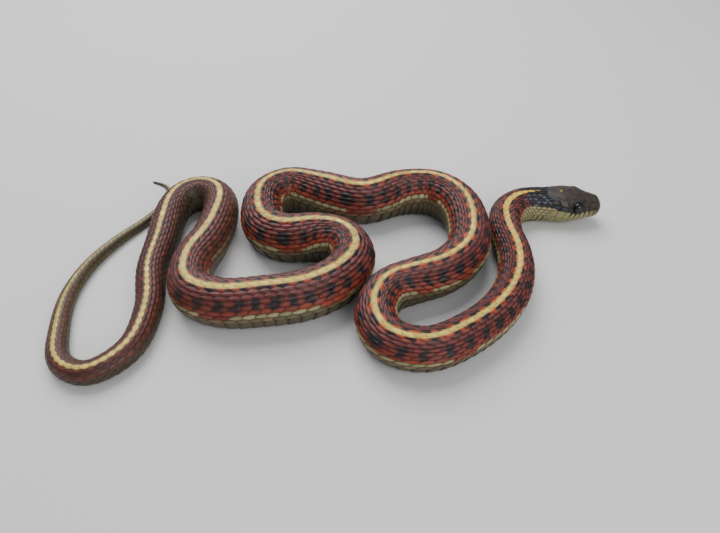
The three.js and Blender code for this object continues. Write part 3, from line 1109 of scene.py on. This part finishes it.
@dataclass
class Head:
    """The head: its form, the plates of crown and lips, the line of the mouth, nostrils and eye sockets."""

    nape: np.ndarray
    # share of the head's length, half width, crown height, throat height
    shape: tuple = (
        (0, 6.4, 10.85, 0.0), (0.1, 6.8, 11.2, 0.1), (0.25, 7.0, 11.4, 0.4), (0.38, 6.8, 11.4, 0.8),
        (0.5, 6.4, 11.1, 1.1), (0.62, 5.7, 10.7, 1.5), (0.75, 4.9, 10.15, 2.1), (0.87, 4.2, 9.65, 2.65),
        (0.95, 3.7, 9.2, 3.05), (1.0, 3.4, 8.8, 3.3),
    )
    # share of the head's length, and the height there of the mouth, the lip's top and the crown's edge
    mouth: tuple = ((0.0, 5.4), (0.06, 5.2), (0.2, 4.4), (0.4, 4.2), (0.6, 4.6), (0.8, 5.0), (0.92, 5.2),
                    (1.06, 5.3))
    lip_top: tuple = ((-0.05, 7.4), (0.12, 7.5), (0.25, 7.4), (0.38, 7.1), (0.46, 6.75), (0.54, 6.5),
                      (0.63, 6.65), (0.72, 6.9), (0.86, 6.9), (0.96, 6.8))
    crown_edge: tuple = ((0.0, 10.3), (0.15, 10.3), (0.3, 10.3), (0.44, 10.0), (0.55, 10.05), (0.66, 9.8),
                         (0.75, 9.2), (0.86, 8.4), (0.95, 7.8), (1.0, 7.4))
    # distance from the middle line, and the share of the head's length where the crown's plates end
    crown_rear: tuple = ((0.0, 0.04), (1.6, 0.05), (3.3, 0.14), (4.6, 0.27))
    corner_shifts: tuple = (-0.04, -0.02, 0.0, 0.02, 0.04)  # over which the corners of the shape are rounded
    cheek_share: float = 0.42  # of the height from throat to crown, where the head is widest
    squareness: float = 0.25  # how much squarer than an oval the head grows over square_span
    square_span: tuple = (0.05, 0.32)
    snout_from: float = 0.9
    snout_height: float = 6.1
    eye_share: float = 0.54
    eye_height: float = 8.3
    eye_radius: float = 1.75
    eye_sunk: float = 1.2
    eye_faces: float = 0.45  # how far the surface faces sideways, at least, round an eye
    socket_depth: float = 0.55
    rim_height: float = 0.14
    brow_height: float = 0.34
    brow_over_eye: float = 1.75
    loreal_depth: float = 0.22  # of the hollow between eye and nostril
    loreal: tuple = (0.74, 8.0)  # share of the head's length, height
    nostril: tuple = (0.915, 7.5)  # share of the head's length, height
    nostril_radius: float = 0.3
    nostril_depth: float = 0.38
    nostril_faces: float = 0.3
    skin_depth: float = 0.1
    plate_rise: float = 0.13
    seam_width: float = 0.16
    mouth_depth: float = 0.42
    mouth_width: float = 0.15
    mouth_corner: tuple = (0.06, 0.14)
    jaw_inset: float = 0.18
    jaw_plate: float = 1.25  # height of the plates along the lower lip
    # the seams between the plates of the crown: share of the head's length, distance from its middle line
    crown_seams: tuple = (
        ((0.04, 0.0), (0.37, 0.0)),
        ((0.04, 0.0), (0.05, 1.6), (0.14, 3.3), (0.27, 4.6), (0.40, 4.2), (0.45, 3.4)),
        ((0.37, 0.0), (0.45, 1.5), (0.45, 3.4)),
        ((0.45, 1.5), (0.67, 1.2), (0.685, 0.0)),
        ((0.45, 3.4), (0.54, 4.5), (0.65, 4.2), (0.69, 2.8), (0.67, 1.2)),
        ((0.685, 0.0), (0.95, 0.0)),
        ((0.69, 2.8), (0.74, 3.6), (0.82, 2.9), (0.82, 0.0)),
        ((0.82, 2.9), (0.90, 2.2), (0.945, 1.0), (0.95, 0.0)),
    )
    # the seams on the side of the head: share of the head's length, height
    side_seams: tuple = (
        ((0.43, 8.7), (0.43, 9.6), (0.45, 10.3)),
        ((0.36, 8.6), (0.44, 8.2)),
        ((0.36, 7.2), (0.40, 8.5), (0.36, 10.1)),
        ((0.22, 7.5), (0.24, 8.9), (0.36, 8.6)),
        ((0.24, 8.9), (0.20, 10.1)),
        ((0.10, 7.6), (0.10, 9.0), (0.24, 8.9)),
        ((0.65, 6.6), (0.66, 8.4), (0.65, 10.0)),
        ((0.76, 6.9), (0.77, 9.3)),
        ((0.66, 8.4), (0.77, 8.3)),
        ((0.86, 6.9), (0.86, 8.6)),
        ((0.94, 6.8), (0.955, 8.4)),
    )
    # where each seam between two upper lip plates meets the mouth, and its top
    lip_seams: tuple = ((0.05, 0.09), (0.16, 0.21), (0.285, 0.345), (0.40, 0.45), (0.50, 0.53), (0.59, 0.605),
                        (0.68, 0.69), (0.765, 0.77), (0.85, 0.855), (0.93, 0.935))
    jaw_seams: tuple = (0.1, 0.2, 0.3, 0.4, 0.5, 0.6, 0.69, 0.78, 0.86, 0.93)
    jaw_seam_lean: float = 0.03
    jaw_seam_foot: float = 2.0
    socket_dark: Wash = Wash(Tint.SOOT, 0.85)
    bars: Wash = Wash(Tint.SOOT, 1.0)
    bars_lie: tuple = ((0.32, 0.38), (0.8, 0.86))  # share of the head's length
    bar_foot: float = 0.12  # half the width of a bar at the mouth, and how much it widens upwards
    bar_spread: float = 0.34
    nape_black: tuple = (0.0, 0.12)
    nape_height: tuple = (6.9, 7.7)
    seam_dark: float = 0.72
    jaw_seam_dark: float = 0.4
    # painted shade along the mouth's crease
    mouth_painted_shade: float = 0.8
    crown_spot: tuple = (0.25, 0.06)  # share of the length, and how far it faces sideways
    temple_pale: tuple = ((8.7, 9.1), (10.1, 10.5))  # height

    def to_body(self, local: np.ndarray) -> np.ndarray:
        """Turns points of the head's own frame with the head and moves them to the nape.

        Args:
            local: Points in the head's own frame.

        Returns:
            Points in the body's frame.
        """
        cos, sin = math.cos(HEAD_YAW), math.sin(HEAD_YAW)
        x, y, z = local[..., 0], local[..., 1], local[..., 2]
        return np.stack([self.nape[0] + x * cos - y * sin, self.nape[1] + x * sin + y * cos, z], axis=-1)

    def _read(self, share: np.ndarray, which: int) -> np.ndarray:
        """A column of the head's shape, its corners rounded."""
        readings = [column(self.shape, share + shift, which) for shift in self.corner_shifts]
        return sum(readings) / len(readings)

    def eye_centre(self, side: float) -> np.ndarray:
        """The middle of an eye, in the head's own frame."""
        reach = float(column(self.shape, np.array(self.eye_share), 1)) - self.eye_sunk
        return np.array([self.eye_share * HEAD_LENGTH, side * reach, self.eye_height])

    def _seam_distance(self, places: np.ndarray, seams: tuple) -> np.ndarray:
        """The distance from each place to the nearest seam.

        Args:
            places: Places in millimetres, on the plane that the seams are drawn on.
            seams: Lines of points, each a share of the head's length and millimetres.

        Returns:
            Distances in millimetres.
        """
        nearest = np.full(len(places), np.inf)
        for seam in seams:
            line = np.array(seam) * (HEAD_LENGTH, 1.0)
            for start, end in zip(line, line[1:]):
                span = end - start
                share = np.clip(((places - start) @ span) / (span @ span), 0.0, 1.0)
                nearest = np.minimum(nearest, np.linalg.norm(places - start - share[:, None] * span, axis=1))
        return nearest

    def _lip_lines(self) -> tuple:
        """The seams between the upper lip plates, from the mouth to the lip's top edge."""
        return tuple(((low, float(column(self.mouth, low, 1))), (high, float(column(self.lip_top, high, 1))))
                     for low, high in self.lip_seams)

    def _jaw_lines(self) -> tuple:
        """The seams between the lower lip plates, from the mouth down and back."""
        return tuple(((place, float(column(self.mouth, place, 1))),
                      (place - self.jaw_seam_lean, self.jaw_seam_foot)) for place in self.jaw_seams)

    def _places(self, share: np.ndarray, turn: np.ndarray) -> HeadPlaces:
        """Lays points on the head's plain form and finds where each lies among its features.

        Args:
            share: Places along the head, 0 at the nape and 1 at the snout.
            turn: Angles round it.

        Returns:
            The points with their places.
        """
        half_width, crown, throat = (self._read(share, which) for which in (1, 2, 3))
        past = np.maximum((share - self.snout_from) / (1.0 - self.snout_from), 0.0)
        snout_round = np.sqrt(np.clip(1.0 - past**2, 0.0, 1.0))
        cheek = throat + self.cheek_share * (crown - throat)
        power = 1.0 - self.squareness * ramp(share, *self.square_span)
        out = np.sign(np.sin(turn)) * np.abs(np.sin(turn)) ** power
        rise = np.sign(np.cos(turn)) * np.abs(np.cos(turn)) ** power
        reach = np.where(rise > 0, crown - cheek, cheek - throat)
        centre = cheek + (self.snout_height - cheek) * (1.0 - snout_round)
        x, side, z = share * HEAD_LENGTH, half_width * snout_round * out, centre + reach * snout_round * rise
        mouth, lip_top = column(self.mouth, share, 1), column(self.lip_top, share, 1)
        on_crown = ramp(z - column(self.crown_edge, share, 1), -0.12, 0.12)
        on_crown = on_crown * ramp(share - column(self.crown_rear, np.abs(side), 1), -0.01, 0.005)
        lips = self._lip_lines()
        seen_from_side = np.stack([x, z], axis=1)
        crown_gap = self._seam_distance(np.stack([x, np.abs(side)], axis=1), self.crown_seams)
        lip_gap = self._seam_distance(seen_from_side, lips)
        side_gap = self._seam_distance(seen_from_side, (*self.side_seams, tuple(self.lip_top), *lips))
        jaw_gap = self._seam_distance(seen_from_side, self._jaw_lines())
        jaw_gap = np.minimum(jaw_gap, np.abs(z - (mouth - self.jaw_plate)))
        gap = np.where(on_crown > 0.5, crown_gap, np.where(z > mouth, side_gap, jaw_gap))
        # The far distances keep the other side's eye and nostril off the crown and the throat.
        off_eye = np.where(np.abs(out) < self.eye_faces, HEAD_LENGTH, 0.0)
        off_nostril = np.where(np.abs(out) < self.nostril_faces, HEAD_LENGTH, 0.0)
        return HeadPlaces(
            share=share, x=x, side=side, z=z, out=out, rise=rise, snout_round=snout_round, mouth=mouth,
            lip_top=lip_top, on_crown=on_crown, gap=gap, lip_gap=lip_gap,
            from_eye=np.hypot(x - self.eye_share * HEAD_LENGTH, z - self.eye_height) + off_eye,
            from_nostril=np.hypot(x - self.nostril[0] * HEAD_LENGTH, z - self.nostril[1]) + off_nostril,
        )

    def _relief(self, at: HeadPlaces) -> np.ndarray:
        """How far the skin stands out from the plain form: plates, mouth, eye rims, brows and nostrils.

        Args:
            at: The points.

        Returns:
            Heights in millimetres.
        """
        eye_x = self.eye_share * HEAD_LENGTH
        plates = self.plate_rise * (1.0 - bump_at(at.gap, 0.0, self.seam_width)) * (at.share > 0.04)
        mouth = bump_at(at.z, at.mouth, self.mouth_width) * ramp(at.share, *self.mouth_corner)
        mouth = self.mouth_depth * mouth
        jaw = self.jaw_inset * ramp(at.mouth - at.z, 0.0, 0.2) * ramp(at.share, 0.1, 0.2)
        rim = self.rim_height * bump_at(at.from_eye, self.eye_radius + 0.1, 0.28)
        socket = self.socket_depth * bump_at(at.from_eye, 0.0, self.eye_radius - 0.15, power=6)
        brow = bump_at(at.z, self.eye_height + self.brow_over_eye, 0.5) * bump_at(at.x, eye_x + 0.2, 2.4)
        brow = self.brow_height * brow * ramp(at.flank, 0.4, 0.7)
        loreal = bump_at(at.z, self.loreal[1], 0.8) * bump_at(at.x, self.loreal[0] * HEAD_LENGTH, 1.6)
        loreal = self.loreal_depth * loreal * ramp(at.flank, 0.6, 0.9)
        nostril = self.nostril_depth * bump_at(at.from_nostril, 0.0, self.nostril_radius)
        return plates + rim + brow - self.skin_depth - mouth - jaw - socket - loreal - nostril

    def surface(self, share: np.ndarray, turn: np.ndarray) -> tuple:
        """The head's surface and its colours.

        Args:
            share: Places along the head, 0 at the nape and 1 at the snout.
            turn: Angles round it, 0 on the crown and growing to the snake's left.

        Returns:
            Points in the head's own frame, and linear colours.
        """
        at = self._places(share, turn)
        relief = self._relief(at)
        firm = ramp(at.snout_round, 0.0, 0.5)
        at.z = at.z + relief * at.rise * firm
        x = at.x + relief * (1.0 - at.snout_round)
        return np.stack([x, at.side + relief * at.out * firm, at.z], axis=1), self._coloured(at)

    def _coloured(self, at: HeadPlaces) -> np.ndarray:
        """The colours of crown, cheek, lips, chin and nape, with dark seams, and painted shade along the
        mouth and in the nostrils.

        Args:
            at: The points.

        Returns:
            Linear colours.
        """
        above_lip = ramp(at.z - at.lip_top, -0.05, 0.08)
        lip = mix(Tint.LIP.rgb, Tint.SNOUT.rgb * 1.5, 0.75 * ramp(at.share, 0.72, 0.92))
        colour = mix(lip, self._cheek(at), above_lip)
        colour = mix(colour, self._crown(at), at.on_crown)
        lip_height = np.maximum(at.lip_top - at.mouth, 0.1)
        bar_width = self.bar_foot + self.bar_spread * ramp((at.z - at.mouth) / lip_height, 0.2, 1.0)
        bar = bump_at(at.lip_gap, 0.0, bar_width, power=4) * band(at.share, *self.bars_lie)
        colour = self.bars.over(colour, bar * (1.0 - above_lip) * (at.z > at.mouth))
        colour = self.socket_dark.over(colour, bump_at(at.from_eye, 1.9, 0.35))
        chin = mix(Tint.CHIN.rgb, Tint.BELLY.rgb, 0.3 * ramp(at.share, 0.7, 0.95))
        colour = mix(colour, chin, ramp(at.mouth - at.z, 0.0, 0.08))
        nape = (1.0 - ramp(at.share, *self.nape_black)) * ramp(at.z, *self.nape_height)
        colour = mix(colour, Tint.SOOT.rgb, nape)
        seam = bump_at(at.gap, 0.0, 0.13) * np.where(at.z > at.mouth, self.seam_dark, self.jaw_seam_dark)
        # Painted shade along the mouth's crease, together with the dark seams.
        mouth_shade = self.mouth_painted_shade * bump_at(at.z, at.mouth, 0.12) * ramp(at.share, *self.mouth_corner)
        colour = colour * (1.0 - np.maximum(seam, mouth_shade))[:, None]
        # Painted shade in the nostrils.
        return mix(colour, Tint.SOOT.rgb * 0.5, bump_at(at.from_nostril, 0.0, 0.28))

    def _crown(self, at: HeadPlaces) -> np.ndarray:
        """The brown crown, olive at the snout, with the two small yellow spots of the parietals, and a ripple
        that is partly mottle and partly painted sheen.

        Args:
            at: The points.

        Returns:
            Linear colours.
        """
        crown = mix(Tint.CROWN_REAR.rgb, Tint.CROWN.rgb, ramp(at.share, 0.35, 0.55))
        crown = mix(crown, Tint.SNOUT.rgb, ramp(at.share, 0.62, 0.85))
        spots = bump_at(at.share, self.crown_spot[0], 0.02) * bump_at(at.flank, self.crown_spot[1], 0.035)
        crown = mix(crown, Tint.STRIPE.rgb * 0.8, 0.8 * spots)
        # A ripple over the plates: partly mottle of their tone, partly painted sheen.
        mottle_and_sheen = 1.0 + 0.22 * np.sin(at.share * 41.0) * np.sin(at.flank * 7.0 + 1.0)
        return crown * mottle_and_sheen[:, None]

    def _cheek(self, at: HeadPlaces) -> np.ndarray:
        """The black cheek, olive before the eye, with the pale and blue-grey scales of the temple.

        Args:
            at: The points.

        Returns:
            Linear colours.
        """
        cheek = mix(Tint.SOOT.rgb, Tint.SNOUT.rgb * 0.8, ramp(at.share, 0.58, 0.68))
        upper = band(at.z, *self.temple_pale)
        temple = ramp(at.gap, 0.2, 0.55) * (1.0 - ramp(at.share, 0.40, 0.46))
        tint = mix(Tint.FLECK.rgb, Tint.TEMPLE.rgb, upper)
        return mix(cheek, tint, temple * (0.18 + 0.42 * upper * bump_at(at.share, 0.26, 0.1)))


@dataclass
class Skin:
    """One unbroken skin from snout to tail tip, which stands for every length of the solid body."""

    course: Course
    rows: ScaleRows
    markings: Markings
    head: Head
    depth: float = 0.24  # under the solid's surface, where scales cover it
    shade: float = 0.3  # painted shade: how dark the skin is between the scales
    overlap: float = 2.5  # how far the body's skin runs forward inside the head's
    tip_length: float = 1.2  # over which the tail's end closes
    snout_crowding: float = 1.35
    head_grid: tuple = (190, 230)
    body_grid: tuple = (900, 44)
    # lowest and highest corner on the unwrapped skin
    head_patch: tuple = (0.02, 0.52, 0.98, 0.98)
    body_patch: tuple = (0.02, 0.02, 0.98, 0.46)
    merge: float = 0.002

    def build(self, name: str, material: bpy.types.Material) -> bpy.types.Object:
        """Builds the skin.

        Args:
            name: Name of the piece.
            material: Its finish.

        Returns:
            The piece.
        """
        shape = bmesh.new()
        shape.verts.layers.float_color.new("markings")
        shape.loops.layers.uv.new("OFBake")
        self._tube(shape, self.head_grid, self._head_part, self.head_patch)
        self._tube(shape, self.body_grid, self._body_part, self.body_patch)
        bmesh.ops.remove_doubles(shape, verts=shape.verts, dist=self.merge * MM)
        bmesh.ops.recalc_face_normals(shape, faces=shape.faces)
        return placed_object(name, finished_mesh(name, shape), material)

    def _tube(self, shape: bmesh.types.BMesh, grid: tuple, part: Callable, patch: tuple) -> None:
        """Lays a grid round the body, with its colours and its patch of the unwrapped skin.

        Args:
            shape: The mesh that grows.
            grid: Squares along and round.
            part: Gives points and colours for shares along and turns round.
            patch: Lowest and highest corner of the patch.
        """
        made = bmesh.ops.create_grid(shape, x_segments=grid[0], y_segments=grid[1], size=1.0)["verts"]
        flat = np.array([vert.co[:2] for vert in made])
        points, colours = part((flat[:, 0] + 1.0) / 2.0, flat[:, 1] * math.pi)
        tint = shape.verts.layers.float_color["markings"]
        unwrap = shape.loops.layers.uv["OFBake"]
        low, high = np.array(patch[:2]), np.array(patch[2:])
        spots = low + (flat + 1.0) / 2.0 * (high - low)
        for vert, point, colour, spot in zip(made, points * MM, colours, spots):
            vert.co = point
            vert[tint] = (*colour, 1.0)
            for loop in vert.link_loops:
                loop[unwrap].uv = spot

    def _head_part(self, share: np.ndarray, turn: np.ndarray) -> tuple:
        """Points and colours of the head, its rings set closer towards the snout."""
        points, colours = self.head.surface(1.0 - (1.0 - share) ** self.snout_crowding, turn)
        return self.head.to_body(points), colours

    def _body_part(self, share: np.ndarray, turn: np.ndarray) -> tuple:
        """Points and colours of the body under its scales, closed at both ends.

        Args:
            share: Places along the skin, 0 inside the head and 1 at the tip.
            turn: Angles round it.

        Returns:
            Points in millimetres, and linear colours.
        """
        along = -self.overlap + share * (self.course.length + self.overlap)
        half_width = self.course.half_width(along)
        closing = np.maximum(0.0, 1.0 - (self.course.length - along) / self.tip_length)
        lift = -self.depth * self.course.relief(along) - closing * half_width
        lift = np.where(share < 0.001, -half_width, lift)
        edge = self.rows.belly_edge(along)
        around = np.abs(turn) / edge
        places = FlankPlaces(self.rows.step_at(along), along, np.minimum(around, 1.0), np.sign(turn))
        colour = mix(self.markings.flank(places), self.markings.stripe(along), 1.0 - ramp(around, 0.06, 0.10))
        belly = self.markings.belly(along, (math.pi - np.abs(turn)) / (math.pi - edge))
        colour = mix(colour, belly, ramp(around, 1.0, 1.02))
        # The skin's colours are dimmed as painted shade between the scales.
        return self.course.place(along, turn, lift), colour * self.shade


@dataclass
class Eyes:
    """The two lidless eyes, each a wet ball under its clear scale."""

    head: Head
    rings: int = 32
    segments: int = 48

    def build(self) -> list:
        """Builds both eyes.

        Returns:
            The left and the right eye.
        """
        made = []
        for name, side in (("eye_ball_left", 1.0), ("eye_ball_right", -1.0)):
            centre = self.head.to_body(self.head.eye_centre(side)) * MM
            shape = bmesh.new()
            bmesh.ops.create_uvsphere(shape, u_segments=self.segments, v_segments=self.rings,
                                      radius=self.head.eye_radius * MM)
            # A quarter turn lays the ball's poles sideways.
            quarter = Matrix.Rotation(math.pi / 2.0, 3, "X")
            bmesh.ops.rotate(shape, verts=shape.verts, cent=(0, 0, 0), matrix=quarter)
            bmesh.ops.translate(shape, verts=shape.verts, vec=centre)
            finish = EyeFinish(name=f"{name}_wet", centre=tuple(centre))
            made.append(placed_object(name, finished_mesh(name, shape), finish.material()))
        return made


@dataclass(frozen=True)
class Studio:
    """The plain pale floor, the soft lights and the camera. Places of lights are in metres."""

    camera_height: float = 130.0
    look_down: float = math.radians(44.0)
    lens: float = 28.0
    film_width: float = 36.0
    nearest_m: float = 0.005
    floor_half_m: float = 1.5
    floor_tint: tuple = (0.60, 0.59, 0.57, 1.0)
    floor_roughness: float = 0.75
    sky_tint: tuple = (0.85, 0.9, 1.0, 1.0)
    sky_strength: float = 0.55
    # a broad soft light from above and behind, and a weak fill from the front: place, size and power
    panels: tuple = (("sky_panel", (-0.12, 0.32, 0.5), 0.5, 5.0), ("fill_panel", (0.3, -0.4, 0.35), 0.4, 2.2))

    def build(self) -> None:
        """Builds the floor, the camera, the lights and the sky."""
        self._floor()
        self._camera()
        for panel in self.panels:
            self._panel(*panel)
        self._sky()

    def _floor(self) -> None:
        """A pale matt floor."""
        shape = bmesh.new()
        bmesh.ops.create_grid(shape, x_segments=1, y_segments=1, size=self.floor_half_m)
        paint = Nodes("floor_paint")
        paint.fill(paint.shader, {"Base Color": self.floor_tint, "Roughness": self.floor_roughness})
        placed_object("floor", finished_mesh("floor", shape, smooth=False), paint.material)

    def _camera(self) -> None:
        """The photograph's view."""
        data = bpy.data.cameras.new("camera")
        data.lens = self.lens
        data.sensor_width = self.film_width
        data.clip_start = self.nearest_m
        camera = bpy.data.objects.new("camera", data)
        camera.location = (-ORIGIN[0] * MM, -ORIGIN[1] * MM, self.camera_height * MM)
        camera.rotation_euler = (math.pi / 2.0 - self.look_down, 0.0, 0.0)
        bpy.context.scene.collection.objects.link(camera)
        bpy.context.scene.camera = camera

    def _panel(self, name: str, place: tuple, size: float, power: float) -> None:
        """A square light that faces the middle of the snake.

        Args:
            name: Name of the light.
            place: Where it hangs, in metres.
            size: Length of its sides in metres.
            power: Its power in watts.
        """
        data = bpy.data.lights.new(name, "AREA")
        data.size = size
        data.energy = power
        light = bpy.data.objects.new(name, data)
        light.location = place
        light.rotation_euler = (-Vector(place)).to_track_quat("-Z", "Y").to_euler()
        bpy.context.scene.collection.objects.link(light)

    def _sky(self) -> None:
        """An even sky."""
        world = bpy.data.worlds.new("sky")
        world.use_nodes = True
        sky = world.node_tree.nodes["Background"]
        sky.inputs["Color"].default_value = self.sky_tint
        sky.inputs["Strength"].default_value = self.sky_strength
        bpy.context.scene.world = world


def main() -> None:
    """Builds the snake, skin first, then its coat, plates and eyes, and the studio round it."""
    logging.basicConfig(level=logging.INFO, format="%(name)s: %(message)s")
    course = Course()
    rows = ScaleRows(course)
    markings = Markings()
    head = Head(nape=course.nape)
    hide = HideFinish(name="scale_hide").material()
    nodes = [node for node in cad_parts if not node.startswith("eye")]

    skin = Skin(course, rows, markings, head).build("skin", hide)
    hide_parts(*nodes)
    pieces = [skin, *ScaleCoat(rows, markings).build(hide)]
    pieces.append(BellyPlates(rows, markings).build("belly_plates", hide))
    eyes = Eyes(head).build()
    for eye, node in zip(eyes, ("eye_left", "eye_right")):
        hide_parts(node)
    for piece in [*pieces, *eyes]:
        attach(piece, "root")
        LOG.info("%s: %d faces", piece.name, len(piece.data.polygons))
    Studio().build()


if __name__ == "__main__":
    main()
